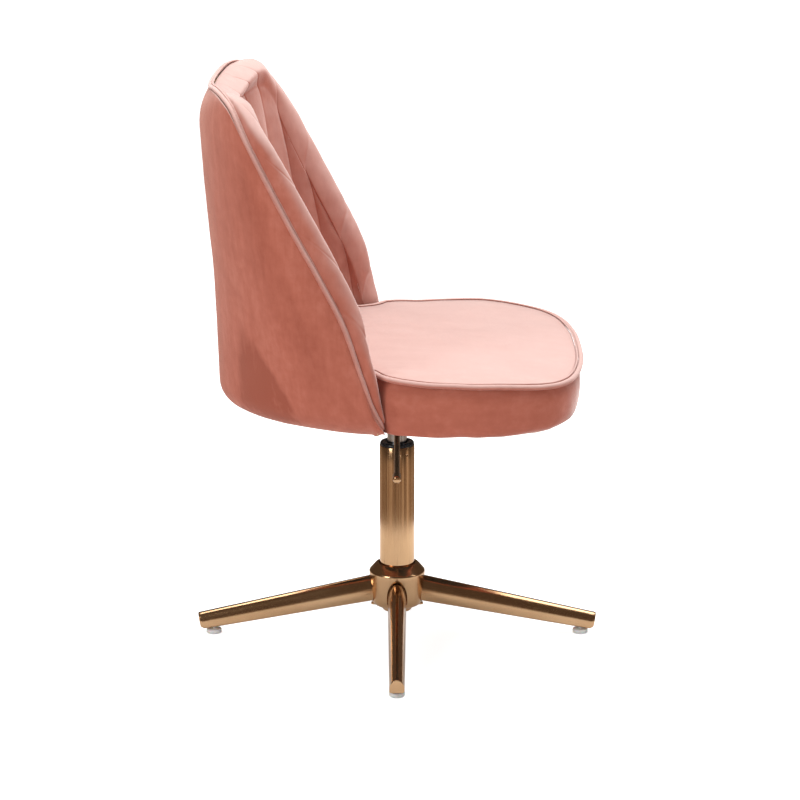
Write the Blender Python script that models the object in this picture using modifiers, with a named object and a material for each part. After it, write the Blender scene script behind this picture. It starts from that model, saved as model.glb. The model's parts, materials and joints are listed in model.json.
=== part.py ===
"""Styling chair: wrap-round upholstered back and seat on a gas lift and a four-leg swivel base.

The origin is on the floor under the column. +Z is up, the sitter faces -Y, and the height
lever sticks out on the sitter's right, -X. Lengths are in metres.
"""

import math

import bmesh
import bpy
from mathutils import Matrix, Vector

GAP = 0.0003

# Base.
LEG_LENGTH = 0.2882
LEG_ROOT = 0.0292
SOCKET_GAP = 0.0012
GLIDE_REACH = 0.2655
GLIDE_RADIUS = 0.011
GLIDE_HEIGHT = 0.0066
STEM_RADIUS = 0.003
SCREW_REACH = 0.0335

# Column and gas lift.
COLUMN_RADIUS = 0.025
COLUMN_WALL = 0.0018
COLUMN_FOOT = 0.045
COLUMN_FLOOR = 0.058
FLOOR_THICKNESS = 0.0035
COLUMN_TOP = 0.283
BUSH_TOP = 0.288
CYLINDER_RADIUS = 0.014
CYLINDER_FOOT = 0.089
CYLINDER_TOP = 0.338
ROD_RADIUS = 0.005

# Mechanism under the seat.
PLATE_SIDE = 0.150
PLATE_BOTTOM = 0.3578
PLATE_TOP = 0.3608
BOLT_SPACING = 0.120
TRAY_LOW = Vector((-0.055, -0.028, 0.330))
TRAY_HIGH = Vector((0.045, 0.028, 0.3585))
TRAY_WALL = 0.0025
LEVER_PIVOT = Vector((-0.030, 0.0, 0.3399))
LEVER_SLOPE = math.radians(15)
LEVER_RADIUS = 0.004
LEVER_REACH = 0.205

# Seat.
BOARD_BOTTOM = 0.3611
BOARD_TOP = 0.3761
CUSHION_BOTTOM = 0.3555
PIPING_HEIGHT = 0.434
PIPING_RADIUS = 0.004
FRONT_DIP = 0.008
CROWN = 0.0135

# Back: the tub's floor, its bottom rounding and the layers, each from its outer to its inner face.
TUB_FLOOR = 0.349
TUB_ROUNDING = 0.036
COVER = (0.0, 0.0025)
FRAME = (0.0032, 0.0118)
PAD_OUTER = 0.0124
PAD_REAR_TOP = 0.030
PAD_REAR_LOW = 0.052
PAD_WING = 0.024
BACK_COLUMNS = 16
# Rows up the wall, closer together at the rounded top.
WALL_SHARES = (0.0, 0.25, 0.50, 0.70, 0.84, 0.94, 1.0)

# Half of the rim, from the middle of the back to the foot of the wing.
RIM = [
    Vector(p)
    for p in (
        (0.0, 0.2570, 0.8010),
        (0.060, 0.2535, 0.8040),
        (0.120, 0.2438, 0.8085),
        (0.170, 0.2305, 0.8050),
        (0.205, 0.2165, 0.7920),
        (0.229, 0.1990, 0.7575),
        (0.240, 0.1780, 0.7160),
        (0.2455, 0.1400, 0.6420),
        (0.247, 0.1050, 0.5780),
        (0.247, 0.0720, 0.5120),
        (0.2455, 0.0480, 0.4420),
        (0.241, 0.0340, 0.4000),
        (0.2355, 0.0185, 0.3665),
    )
]
# The tub's edge at the floor, below the same stations of the rim.
FOOT = [
    Vector((*p, TUB_FLOOR))
    for p in (
        (0.0, 0.2505),
        (0.045, 0.2460),
        (0.090, 0.2265),
        (0.130, 0.1980),
        (0.158, 0.1700),
        (0.180, 0.1420),
        (0.195, 0.1190),
        (0.2095, 0.0920),
        (0.2195, 0.0680),
        (0.2255, 0.0480),
        (0.2275, 0.0340),
        (0.2280, 0.0250),
        (0.2280, 0.0155),
    )
]
# How far the padded roll stands past the rim at those stations.
ROLL = (0.006, 0.006, 0.007, 0.009, 0.012, 0.015, 0.017, 0.018, 0.018, 0.017, 0.014, 0.009, 0.005)
# Half of the seat's outline, from the middle of its front edge to the wing.
SEAT_FRONT = [
    Vector(p)
    for p in (
        (0.0, -0.2605),
        (0.070, -0.2590),
        (0.125, -0.2535),
        (0.170, -0.2450),
        (0.2055, -0.2320),
        (0.2350, -0.2100),
        (0.2555, -0.1700),
        (0.2655, -0.1150),
        (0.2600, -0.0560),
        (0.2420, -0.0125),
        (0.2130, 0.0180),
    )
]


def clear_scene():
    for obj in list(bpy.data.objects):
        bpy.data.objects.remove(obj)


def new_collection(name):
    collection = bpy.data.collections.new(name)
    bpy.context.scene.collection.children.link(collection)
    return collection


def material(name, colour, roughness, metallic=0.0):
    made = bpy.data.materials.new(name)
    made.use_nodes = True
    shader = made.node_tree.nodes["Principled BSDF"]
    shader.inputs["Base Color"].default_value = (*colour, 1)
    shader.inputs["Roughness"].default_value = roughness
    shader.inputs["Metallic"].default_value = metallic
    return made


def mesh_object(name, mesh, finish=None):
    """A part where it has a finish, and a hidden cutter where it has none."""
    obj = bpy.data.objects.new(name, mesh)
    if finish:
        PARTS.objects.link(obj)
        mesh.materials.append(finish)
        mesh.shade_smooth()
        mesh.set_sharp_from_angle(angle=math.radians(35))
    else:
        CUTTERS.objects.link(obj)
        obj.hide_render = True
        obj.display_type = "WIRE"
    return obj


def from_bmesh(name, bm, finish=None):
    bmesh.ops.recalc_face_normals(bm, faces=bm.faces)
    mesh = bpy.data.meshes.new(name)
    bm.to_mesh(mesh)
    bm.free()
    return mesh_object(name, mesh, finish)


def box(name, low, high, finish=None):
    bm = bmesh.new()
    bmesh.ops.create_cube(bm, size=1)
    size = Vector(high) - Vector(low)
    middle = (Vector(high) + Vector(low)) / 2
    bmesh.ops.scale(bm, vec=size, verts=bm.verts)
    bmesh.ops.translate(bm, vec=middle, verts=bm.verts)
    return from_bmesh(name, bm, finish)


def rod(name, start, end, radius, finish=None, end_radius=None, sides=20):
    """A solid cylinder or cone between two points."""
    start, end = Vector(start), Vector(end)
    along = end - start
    turn = along.to_track_quat("Z", "Y").to_matrix().to_4x4()
    bm = bmesh.new()
    bmesh.ops.create_cone(
        bm,
        cap_ends=True,
        segments=sides,
        radius1=radius,
        radius2=radius if end_radius is None else end_radius,
        depth=along.length,
        matrix=Matrix.Translation((start + end) / 2) @ turn,
    )
    return from_bmesh(name, bm, finish)


def turned(name, profile, finish=None, steps=32, closed=False, place=(0, 0, 0)):
    """A profile of (radius, height), outer side from the top down, turned about Z."""
    mesh = bpy.data.meshes.new(name)
    points = [(radius, 0, height) for radius, height in profile]
    edges = [(i, i + 1) for i in range(len(points) - 1)]
    if closed:
        edges.append((len(points) - 1, 0))
    mesh.from_pydata(points, edges, [])
    obj = mesh_object(name, mesh, finish)
    obj.location = place
    screw = obj.modifiers.new("Turn", "SCREW")
    screw.axis = "Z"
    screw.steps = screw.render_steps = steps
    screw.use_merge_vertices = True
    screw.merge_threshold = 0.00002
    screw.use_smooth_shade = True
    return obj


def cut(obj, *cutters, operation="DIFFERENCE"):
    for cutter in cutters:
        boolean = obj.modifiers.new(operation.title() + " " + cutter.name, "BOOLEAN")
        boolean.operation = operation
        boolean.object = cutter


def cord(name, points, radius, finish, cyclic=False):
    curve = bpy.data.curves.new(name, "CURVE")
    curve.dimensions = "3D"
    curve.bevel_depth = radius
    curve.bevel_resolution = 2
    curve.use_fill_caps = True
    spline = curve.splines.new("POLY")
    spline.points.add(len(points) - 1)
    for target, point in zip(spline.points, points):
        target.co = (*point, 1)
    spline.use_cyclic_u = cyclic
    curve.materials.append(finish)
    obj = bpy.data.objects.new(name, curve)
    PARTS.objects.link(obj)
    return obj


def along(stations, position):
    """A point on the smooth curve through the stations, at a fraction of the way from 0 to 1."""
    last = len(stations) - 1
    span = min(int(position * last), last - 1)
    t = position * last - span
    before = stations[span - 1] if span else stations[0] * 2 - stations[1]
    after = stations[span + 2] if span + 2 <= last else stations[last] * 2 - stations[last - 1]
    start, end = stations[span], stations[span + 1]
    return (
        start * 2
        + (end - before) * t
        + (before * 2 - start * 5 + end * 4 - after) * t**2
        + (start * 3 - end * 3 + after - before) * t**3
    ) / 2


def ease(value):
    """0 below 0, 1 above 1, and smooth between."""
    value = max(0.0, min(1.0, value))
    return value * value * (3 - 2 * value)


def mirrored(stations):
    return [Vector((-p.x, *p[1:])) for p in reversed(stations[1:])] + list(stations)


RIM_LINE = mirrored(RIM)
FOOT_LINE = mirrored(FOOT)
ROLL_LINE = [Vector((r, 0, 0)) for r in (*reversed(ROLL[1:]), *ROLL)]


class Column:
    """One upright strip of the back, at a fraction of the way round it from wing to wing."""

    def __init__(self, position):
        step = 0.002
        low, high = max(0.0, position - step), min(1.0, position + step)
        self.rim = along(RIM_LINE, position)
        self.foot = along(FOOT_LINE, position)
        run = along(RIM_LINE, high) - along(RIM_LINE, low)
        foot_run = along(FOOT_LINE, high) - along(FOOT_LINE, low)
        level = run.normalized() + foot_run.normalized()
        level.z = 0
        level.normalize()
        self.inward = Vector((level.y, -level.x, 0))
        # The direction in the wall that leads straight past the rim, and how far a climb up
        # the wall goes that way.
        climb = (self.rim - self.foot).normalized()
        past = climb - run * (climb.dot(run) / run.length_squared)
        self.rise = past.length
        self.past = past.normalized()
        self.roll = along(ROLL_LINE, position).x
        self.rear = ease(1 - abs(2 * position - 1) / 0.62)
        self.height = self.rim.z - TUB_FLOOR
        self.rounding = min(TUB_ROUNDING, 0.42 * self.height)

    def skin(self, height):
        """The outer face of the back at a height above the tub's floor."""
        share = height / self.height
        swell = 0.016 * share**1.9 * self.rear + 0.011 * math.sin(math.pi * share) * (1 - self.rear)
        crest = max(0.0, (share - 0.88) / 0.12) ** 2 * self.rear
        point = self.foot.lerp(self.rim, share)
        point.z = TUB_FLOOR + height
        return point - self.inward * swell * (1 - crest)

    def wall(self, height, depth):
        return self.skin(height) + self.inward * depth

    def curl(self, angle, depth):
        """A layer's point on the bottom rounding: 0 is under the floor, 90 degrees on the wall."""
        radius = self.rounding - depth
        height = self.rounding - radius * math.cos(angle)
        return self.wall(height, self.rounding - radius * math.sin(angle))

    def pad_depth(self, height):
        share = height / self.height
        rear = PAD_REAR_LOW + (PAD_REAR_TOP - PAD_REAR_LOW) * ease(share)
        return PAD_OUTER + PAD_WING + (rear - PAD_WING) * self.rear


def back_columns(short=0.0):
    """The strips that every layer shares, so that the layers nest. A layer can stop short of the wings' feet."""
    count = 2 * BACK_COLUMNS
    shared = [i / count for i in range(count + 1) if short < i / count < 1 - short]
    return [Column(position) for position in (short, *shared, 1 - short)]


def loft(name, rings, finish=None):
    """A closed body through equal rings of points, with a face over its first and last ring.

    Each twisted quad is split from its lower corner, so that two layers with one shape nest.
    """
    bm = bmesh.new()
    rows = [[bm.verts.new(point) for point in ring] for ring in rings]
    size = len(rows[0])
    for row, following in zip(rows, rows[1:]):
        for i in range(size):
            j = (i + 1) % size
            quad = [row[i], row[j], following[j], following[i]]
            if row[i].co.z > row[j].co.z:
                quad = quad[1:] + quad[:1]
            bm.faces.new(quad[:3])
            bm.faces.new((quad[0], *quad[2:]))
    bm.faces.new(rows[0])
    bm.faces.new(rows[-1])
    return from_bmesh(name, bm, finish)


def layer_ring(column, depths, floor_reach, short):
    """The outline of a thin layer: in along the floor, round the bottom and up to the rim."""
    drop = short / column.rise
    top = column.height - drop
    ring = []
    for depth, order in zip(depths, (1, -1)):
        edge = column.curl(0, depth) + column.inward * floor_reach
        curls = [column.curl(math.radians(a), depth) for a in (0, 30, 60)]
        heights = [column.rounding + (top - column.rounding) * share for share in WALL_SHARES]
        walls = [column.wall(height, depth) for height in heights]
        ring += [edge, *curls, *walls][::order]
    return ring


def back_shells():
    """The velvet outer cover and, inside it, the moulded plywood frame."""
    cover = loft(
        "back_cover",
        [layer_ring(c, COVER, 0.014, 0.0045) for c in back_columns()],
        VELVET,
    )
    frame = loft(
        "back_frame",
        [layer_ring(c, FRAME, 0.020, 0.0048) for c in back_columns(0.035)],
        PLYWOOD,
    )
    return cover, frame


def back_pad():
    """The inner padding: up the frame's inner face, over its edge and round in a roll."""
    rings = []
    for column in back_columns(0.055):
        top = column.height - 0.0042 / column.rise
        low = TUB_ROUNDING + 0.0005
        reach = column.roll
        thick = column.pad_depth(column.height)
        lip = column.rim
        roll = [
            lip + column.past * reach * past + column.inward * (0.0056 + (thick - 0.0056) * deep)
            for past, deep in ((-0.10, 0.0), (0.45, 0.05), (0.82, 0.20), (1.0, 0.45), (0.9, 0.72), (0.5, 0.93))
        ]
        heights = [low + (top - low) * share for share in WALL_SHARES]
        outer = [column.wall(h, PAD_OUTER) for h in heights]
        inner = [column.wall(h, column.pad_depth(h)) for h in reversed(heights)]
        rings.append(outer + roll + inner)
    return loft("back_pad", rings, VELVET)


def back_piping():
    return cord("back_piping", [column.rim for column in back_columns(0.004)], PIPING_RADIUS - 0.0004, VELVET)


def seat_half():
    """Half of the seat's outline: the front by hand, then clear of the padding inside the tub."""
    height = TUB_ROUNDING
    rear = []
    for i in range(7):
        column = Column(0.88 - 0.38 * i / 6)
        point = column.wall(height, column.pad_depth(height) + 0.004)
        rear.append(Vector((point.x, point.y)))
    rear[-1].x = 0.0
    return SEAT_FRONT + rear


def seat_outline(count=48):
    half = seat_half()
    whole = half + [Vector((-p.x, p.y)) for p in reversed(half[1:-1])]
    closed = whole + [whole[0]]
    lengths = [0.0]
    for a, b in zip(closed, closed[1:]):
        lengths.append(lengths[-1] + (b - a).length)
    points = []
    for i in range(count):
        target = lengths[-1] * i / count
        span = max(k for k in range(len(closed) - 1) if lengths[k] <= target)
        share = (target - lengths[span]) / (lengths[span + 1] - lengths[span])
        around = [whole[(span + k) % len(whole)] for k in (-1, 0, 1, 2)]
        points.append(along(around, (1 + share) / 3))
    return points


def inset(outline, distance):
    """The outline moved inwards, each point along its own normal."""
    moved = []
    for i, point in enumerate(outline):
        run = outline[(i + 1) % len(outline)] - outline[i - 1]
        run.normalize()
        moved.append(point + Vector((-run.y, run.x)) * distance)
    return moved


def piping_height(y):
    return PIPING_HEIGHT - FRONT_DIP * ease((-0.12 - y) / 0.12)


def seat_cushion():
    """Boxing that tucks in below, a groove for the piping and a crowned top, over the seat board."""
    outline = seat_outline()
    rim_rows = (
        (0.0120, CUSHION_BOTTOM - PIPING_HEIGHT),
        (0.0040, -0.064),
        (0.0010, -0.040),
        (0.0020, -0.016),
        (0.0086, -0.006),
        (0.0090, 0.004),
    )
    rings = []
    for distance, lift in rim_rows:
        ring = []
        for point in inset(outline, distance):
            full = piping_height(point.y) + lift
            flat = CUSHION_BOTTOM if lift < -0.07 else full
            ring.append(Vector((*point, flat)))
        rings.append(ring)
    middle = Vector((0.0, -0.035))
    for share in (0.86, 0.70, 0.50, 0.28, 0.08):
        ring = []
        for point in inset(outline, 0.009):
            spot = middle.lerp(point, share)
            ring.append(Vector((*spot, piping_height(point.y) + 0.004 + (CROWN - 0.004) * (1 - share**3))))
        rings.append(ring)
    cushion = loft("seat_cushion", rings, VELVET)
    low, high = CUSHION_BOTTOM - 0.002, BOARD_TOP + GAP
    pocket = [[Vector((*p, z)) for p in board_outline(GAP)] for z in (low, high)]
    cut(cushion, loft("board_pocket", pocket), box("tub_pocket", (-0.3, 0.010, low), (0.3, 0.3, high)))
    return cushion


def board_outline(grow=0.0):
    """The seat board: inside the cushion in front and inside the frame in the tub."""
    front = [p for p in inset(seat_outline(), 0.020 - grow) if p.y < -0.03]
    rear = []
    for column in reversed(back_columns()[3:-3]):
        rear.append((column.foot + column.inward * (0.0368 - grow)).xy)
    right = sorted((p for p in front if p.x >= 0), key=lambda p: p.y)
    left = sorted((p for p in front if p.x < 0), key=lambda p: -p.y)
    return right + rear + left


def seat_board():
    outline = board_outline()
    board = loft("seat_board", [[Vector((*p, z)) for p in outline] for z in (BOARD_BOTTOM, BOARD_TOP)], PLYWOOD)
    for i, (x, y) in enumerate(plate_bolts()):
        hole = rod(f"board_hole_{i}", (x, y, BOARD_BOTTOM - 0.01), (x, y, BOARD_TOP + 0.01), 0.0046)
        seat = rod(f"nut_seat_{i}", (x, y, BOARD_TOP - 0.0018), (x, y, BOARD_TOP + 0.01), 0.0096)
        cut(board, hole, seat)
    for i, spot in enumerate(flange_bolts()):
        cut(board, rod(f"flange_hole_{i}", (*spot, BOARD_BOTTOM - 0.01), (*spot, BOARD_BOTTOM + 0.0115), 0.0029))
    return board


def seat_piping():
    points = [Vector((*p, piping_height(p.y))) for p in inset(seat_outline(), 0.0035)]
    return cord("seat_piping", points, PIPING_RADIUS, VELVET, cyclic=True)


def plate_bolts():
    half = BOLT_SPACING / 2
    return [(x, y) for x in (-half, half) for y in (-half, half)]


def flange_bolts():
    """Where the frame's flange is bolted to the seat board."""
    spots = []
    for position in (0.20, 0.40, 0.60, 0.80):
        column = Column(position)
        spots.append((column.foot + column.inward * 0.045).xy)
    return spots


def fasten_back(frame):
    """Bolts up through the frame's flange into the board, their heads sunk in the flange."""
    floor = TUB_FLOOR + FRAME[0]
    for i, spot in enumerate(flange_bolts()):
        hole = rod(f"flange_bore_{i}", (*spot, floor - 0.01), (*spot, floor + 0.02), 0.0029)
        sink = rod(f"flange_sink_{i}", (*spot, floor - 0.01), (*spot, floor + 0.0042), 0.0056)
        cut(frame, hole, sink)
        profile = (
            (0.0, BOARD_BOTTOM + 0.011),
            (0.0026, BOARD_BOTTOM + 0.011),
            (0.0026, floor + 0.0039),
            (0.0052, floor + 0.0039),
            (0.0052, floor + 0.0008),
            (0.0, floor + 0.0008),
        )
        turned(f"back_bolt_{i + 1}", profile, STEEL, steps=12, place=(*spot, 0))


def plate_fasteners():
    for i, (x, y) in enumerate(plate_bolts()):
        bolt = (
            (0.0, BOARD_TOP - 0.003),
            (0.0030, BOARD_TOP - 0.003),
            (0.0030, PLATE_BOTTOM - GAP),
            (0.0055, PLATE_BOTTOM - GAP),
            (0.0055, PLATE_BOTTOM - 0.0035),
            (0.0045, PLATE_BOTTOM - 0.0045),
            (0.0, PLATE_BOTTOM - 0.0045),
        )
        turned(f"plate_bolt_{i + 1}", bolt, STEEL, steps=12, place=(x, y, 0))
        nut = (
            (0.0092, BOARD_TOP - 0.0002),
            (0.0092, BOARD_TOP - 0.0015),
            (0.0042, BOARD_TOP - 0.0015),
            (0.0042, BOARD_BOTTOM + 0.002),
            (0.0033, BOARD_BOTTOM + 0.002),
            (0.0033, BOARD_TOP - 0.0002),
        )
        turned(f"tee_nut_{i + 1}", nut, STEEL, steps=12, closed=True, place=(x, y, 0))


def dust_cover():
    """The black panel under the board, inside the frame's flange, round the mounting plate."""
    outline = board_outline(-0.0245)
    low, high = PLATE_TOP - 0.0020, PLATE_TOP - 0.0010
    panel = loft("dust_cover", [[Vector((*p, z)) for p in outline] for z in (low, high)], BLACK_CLOTH)
    half = PLATE_SIDE / 2 + 0.002
    cut(panel, box("plate_window", (-half, -half, low - 0.01), (half, half, high + 0.01)))
    return panel


def mounting_plate():
    """Plate, tray for the lever and socket for the gas cylinder, welded into one."""
    half = PLATE_SIDE / 2
    plate = box("mounting_plate", (-half, -half, PLATE_BOTTOM), (half, half, PLATE_TOP), BLACK_STEEL)
    socket_foot = 0.316
    tray = box("tray_body", TRAY_LOW, TRAY_HIGH)
    socket = rod("socket_body", (0, 0, socket_foot), (0, 0, TRAY_LOW.z + 0.001), 0.0195, sides=32)
    cut(plate, tray, socket, operation="UNION")
    wall = Vector((TRAY_WALL, TRAY_WALL, TRAY_WALL))
    room = box("tray_room", TRAY_LOW + wall, (TRAY_HIGH.x - TRAY_WALL, TRAY_HIGH.y - TRAY_WALL, PLATE_BOTTOM))
    bore = rod(
        "socket_bore",
        (0, 0, socket_foot - 0.001),
        (0, 0, TRAY_LOW.z + 0.010),
        CYLINDER_RADIUS + GAP,
        sides=32,
    )
    slot = box("lever_slot", (TRAY_LOW.x - 0.01, -0.0065, TRAY_LOW.z - 0.01), (-0.038, 0.0065, 0.350))
    pin = (LEVER_PIVOT.x, 0.04, LEVER_PIVOT.z)
    pin_hole = rod("tray_pin_hole", (pin[0], -0.04, pin[2]), pin, 0.0023)
    cut(plate, room, bore, slot, pin_hole)
    for i, (x, y) in enumerate(plate_bolts()):
        cut(plate, rod(f"plate_hole_{i}", (x, y, PLATE_BOTTOM - 0.01), (x, y, PLATE_TOP + 0.01), 0.0034))
    return plate


def lever_parts():
    """The lift lever: a bent-down rod on a pin, its inner end over the valve pin, and its end cap."""
    direction = Vector((-math.cos(LEVER_SLOPE), 0, -math.sin(LEVER_SLOPE)))
    inner = LEVER_PIVOT - direction * 0.036
    outer = LEVER_PIVOT + direction * (LEVER_REACH - 0.030)
    hinge = bpy.data.objects.new("lever_hinge", None)
    hinge.location = LEVER_PIVOT
    PARTS.objects.link(hinge)
    lever = rod("lift_lever", inner - LEVER_PIVOT, outer - LEVER_PIVOT, LEVER_RADIUS, BRASS)
    lever.parent = hinge
    hole = rod("lever_pin_hole", (0, -0.02, 0), (0, 0.02, 0), 0.0023)
    hole.parent = hinge
    cut(lever, hole)
    tip = (
        (0.0, 0.0160),
        (0.0036, 0.0160),
        (0.0052, 0.0148),
        (0.0056, 0.0120),
        (0.0056, 0.0012),
        (0.0050, 0.0004),
        (0.0, 0.0004),
    )
    cap = turned("lever_cap", tip, BRASS, steps=20)
    cap.location = outer - LEVER_PIVOT
    cap.rotation_mode = "QUATERNION"
    cap.rotation_quaternion = direction.to_track_quat("Z", "Y")
    cap.parent = hinge
    pin = rod(
        "lever_pin",
        (LEVER_PIVOT.x, -0.0305, LEVER_PIVOT.z),
        (LEVER_PIVOT.x, 0.0305, LEVER_PIVOT.z),
        0.0020,
        STEEL,
        sides=20,
    )
    return lever, cap, pin


def gas_lift():
    """Outer cylinder, valve pin, piston rod and the rod's bearing, washer, stop and clip."""
    mouth = CYLINDER_FOOT
    shoulder = 0.318
    cylinder = (
        (0.0033, CYLINDER_TOP),
        (0.0125, CYLINDER_TOP),
        (0.0134, CYLINDER_TOP - 0.0012),
        (CYLINDER_RADIUS, shoulder),
        (CYLINDER_RADIUS, mouth + 0.0015),
        (CYLINDER_RADIUS - 0.0015, mouth),
        (ROD_RADIUS + GAP, mouth),
        (ROD_RADIUS + GAP, mouth + 0.014),
        (CYLINDER_RADIUS - 0.002, mouth + 0.016),
        (CYLINDER_RADIUS - 0.002, CYLINDER_TOP - 0.015),
        (0.0033, CYLINDER_TOP - 0.012),
    )
    turned("gas_cylinder", cylinder, CHROME_STEEL, closed=True)
    valve = (
        (0.0, 0.3427),
        (0.0024, 0.3427),
        (0.0030, 0.3421),
        (0.0030, 0.3285),
        (0.0, 0.3285),
    )
    turned("valve_pin", valve, STEEL, steps=16)
    piston = 0.305
    floor = COLUMN_FLOOR + FLOOR_THICKNESS
    bearing = floor + 0.0018
    rest = bearing + 0.0063
    rod_profile = (
        (0.0, piston + 0.009),
        (0.0114, piston + 0.009),
        (0.0114, piston),
        (ROD_RADIUS, piston),
        (ROD_RADIUS, rest + GAP),
        (0.0040, rest + GAP),
        (0.0040, 0.0560 + GAP),
        (0.0032, 0.0560),
        (0.0032, 0.0545),
        (0.0040, 0.0542),
        (0.0036, 0.0505),
        (0.0, 0.0505),
    )
    turned("piston_rod", rod_profile, CHROME_STEEL, steps=20)
    rings = (
        ("bearing_washer", 0.0046, 0.0135, floor + GAP, floor + 0.0015, STEEL),
        ("thrust_bearing", 0.0046, 0.0130, bearing, rest, STEEL),
        ("rubber_stop", ROD_RADIUS + GAP, 0.0125, rest + GAP, CYLINDER_FOOT - GAP, RUBBER),
        ("rod_clip", 0.0035, 0.0085, 0.0547, 0.0558, STEEL),
    )
    for name, inner, outer, low, high, finish in rings:
        turned(name, ((outer, high), (outer, low), (inner, low), (inner, high)), finish, 20, True)


def column_tube():
    """The brass outer tube with its floor, and pairs of centre-punch dimples near its mouth."""
    outer, inner = COLUMN_RADIUS, COLUMN_RADIUS - COLUMN_WALL
    floor = COLUMN_FLOOR
    profile = (
        (outer - 0.0006, COLUMN_TOP),
        (outer, COLUMN_TOP - 0.0006),
        (outer, COLUMN_FOOT + 0.0008),
        (outer - 0.0008, COLUMN_FOOT),
        (inner, COLUMN_FOOT),
        (inner, floor),
        (0.0048, floor),
        (0.0048, floor + FLOOR_THICKNESS),
        (inner, floor + FLOOR_THICKNESS),
        (inner, COLUMN_TOP),
    )
    tube = turned("column_tube", profile, BRASS, steps=40, closed=True)
    for i, degrees in enumerate((9.0, 34.5, 189.0, 214.5)):
        angle = math.radians(degrees)
        out = Vector((-math.cos(angle), -math.sin(angle), 0))
        spot = out * (outer + 0.0004) + Vector((0, 0, 0.2722))
        bm = bmesh.new()
        bmesh.ops.create_uvsphere(bm, u_segments=10, v_segments=6, radius=0.0015)
        bmesh.ops.translate(bm, vec=spot, verts=bm.verts)
        cut(tube, from_bmesh(f"dimple_{i}", bm))
    bush = (
        (0.0226, BUSH_TOP),
        (0.0240, BUSH_TOP - 0.0010),
        (0.0244, COLUMN_TOP + 0.0012),
        (0.0244, COLUMN_TOP + GAP),
        (inner - GAP, COLUMN_TOP + GAP),
        (inner - GAP, 0.205),
        (CYLINDER_RADIUS + GAP, 0.205),
        (CYLINDER_RADIUS + GAP, BUSH_TOP - 0.0012),
        (0.0155, BUSH_TOP),
    )
    turned("guide_bush", bush, BLACK_PLASTIC, closed=True)


def arch(width, low, high, grow):
    """Half-round-headed section of a leg: (across, up) points, flat below and narrow at the ridge."""
    half = width / 2 + grow
    low, high = low - grow, high + grow
    rise = high - low
    side = [(0.80, 0.0), (1.0, 0.10), (1.0, 0.38), (0.93, 0.58), (0.76, 0.77), (0.48, 0.92), (0.16, 1.0)]
    right = [(half * across, low + rise * up) for across, up in side]
    return right + [(-across, up) for across, up in reversed(right)]


def leg_rings(grow=0.0, stations=None):
    """Sections from the hub to the tip; each has its own reach at the top and at the bottom."""
    stations = stations or (
        (LEG_ROOT, LEG_ROOT, 0.0892, 0.0530, 0.0262),
        (0.110, 0.110, 0.0709, 0.0386, 0.0243),
        (0.200, 0.198, 0.0504, 0.0227, 0.0224),
        (0.272, 0.268, 0.0340, 0.0102, 0.0209),
        (0.2835, 0.2790, 0.0314, 0.0084, 0.0206),
        (LEG_LENGTH, 0.2842, 0.0303, 0.0108, 0.0203),
    )
    rings = []
    for top_reach, low_reach, top, low, width in stations:
        ring = []
        for across, up in arch(width, low, top, grow):
            share = (up - low) / (top - low)
            ring.append(Vector((low_reach + (top_reach - low_reach) * share, across, up)))
        rings.append(ring)
    return rings


def base_hub():
    profile = (
        (COLUMN_RADIUS + GAP, 0.1080),
        (0.0278, 0.1080),
        (0.0310, 0.1064),
        (0.0350, 0.1022),
        (0.0384, 0.0980),
        (0.0398, 0.0964),
        (0.0402, 0.0945),
        (0.0386, 0.0740),
        (0.0370, 0.0540),
        (0.0362, 0.0500),
        (0.0340, 0.0465),
        (0.0306, 0.0447),
        (0.0268, 0.0440),
        (0.0222, 0.0434),
        (0.0214, 0.0376),
        (0.0204, 0.0364),
        (0.0145, 0.0364),
        (0.0145, COLUMN_FOOT - GAP),
        (COLUMN_RADIUS + GAP, COLUMN_FOOT - GAP),
    )
    return turned("base_hub", profile, BRASS, steps=40, closed=True)


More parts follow.
